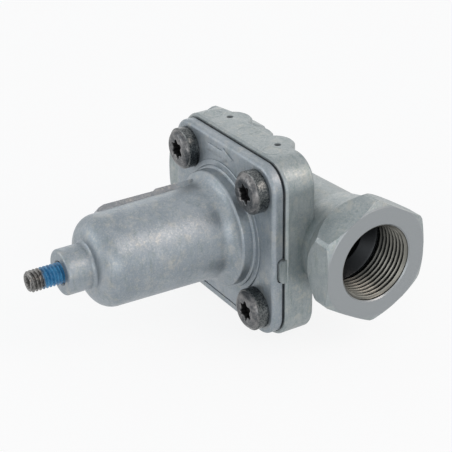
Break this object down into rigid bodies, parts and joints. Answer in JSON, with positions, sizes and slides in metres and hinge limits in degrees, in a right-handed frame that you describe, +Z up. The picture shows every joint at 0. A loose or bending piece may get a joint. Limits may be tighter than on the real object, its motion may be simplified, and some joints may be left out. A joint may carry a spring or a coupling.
{
  "type": "relief valve",
  "caption": "Spring-loaded diaphragm relief valve: square flanged body with in-line threaded ports, a cylindrical spring housing and an adjusting screw in its nose.",
  "frame": {"origin": "below the middle of the bounding box, on the surface that the body flange stands on", "axes": "+X along the port axis, -Y along the valve axis towards the adjusting screw, +Z up"},
  "size_m": [0.084, 0.0988, 0.0536],
  "materials": {
    "valve_body": "die-cast, blasted",
    "spring_housing": "die-cast, blasted",
    "cover_screws": "dark phosphated",
    "adjusting_screw": "dark phosphated, blue locking patch",
    "upper_spring_plate": "zinc plated",
    "main_spring": "oiled spring wire",
    "diaphragm": "fabric-backed rubber",
    "diaphragm_plate": "zinc plated",
    "piston": "turned",
    "lock_washer": "zinc plated",
    "diaphragm_nut": "zinc plated",
    "valve_seal": "moulded",
    "seal_washer": "plain",
    "seal_screw": "zinc plated",
    "seat_ring": "turned",
    "seat_ring_seal": "moulded",
    "return_valve_plate": "turned",
    "return_valve_spring": "stainless wire",
    "return_valve_cap": "pressed"
  },
  "bodies": {
    "housing": {"valve_body": "valve_body", "spring_housing": "spring_housing", "cover_screws": "cover_screws", "diaphragm": "diaphragm", "main_spring": "main_spring", "seat_ring": "seat_ring", "seat_ring_seal": "seat_ring_seal", "return_valve_cap": "return_valve_cap", "return_valve_spring": "return_valve_spring"},
    "spring_plate": {"upper_spring_plate": "upper_spring_plate"},
    "screw": {"adjusting_screw": "adjusting_screw"},
    "lifting_piston": {"piston": "piston", "diaphragm_plate": "diaphragm_plate", "lock_washer": "lock_washer", "diaphragm_nut": "diaphragm_nut", "valve_seal": "valve_seal", "seal_washer": "seal_washer", "seal_screw": "seal_screw"},
    "return_plate": {"return_valve_plate": "return_valve_plate"}
  },
  "joints": [
    {"name": "plate_feed", "type": "slide", "parent": "housing", "child": "spring_plate", "axis": [0, 1, 0], "range_m": [-0.0025, 0.005], "deforming": ["main_spring"]},
    {"name": "screw_turn", "type": "hinge", "parent": "spring_plate", "child": "screw", "pos_m": [0, 0.01475, 0.0268], "axis": [0, 1, 0], "range_deg": [-930, 1860]},
    {"name": "piston_lift", "type": "slide", "parent": "housing", "child": "lifting_piston", "axis": [0, -1, 0], "range_m": [0, 0.0022], "stiffness_N_per_m": 2000, "springref_m": -0.002, "deforming": ["diaphragm"]},
    {"name": "return_lift", "type": "slide", "parent": "housing", "child": "return_plate", "axis": [0, -1, 0], "range_m": [0, 0.0012], "stiffness_N_per_m": 60, "springref_m": -0.003, "deforming": ["return_valve_spring"]}
  ],
  "couplings": [
    {"joint": "screw_turn", "follows": "plate_feed", "rad_per_m": 6283}
  ]
}
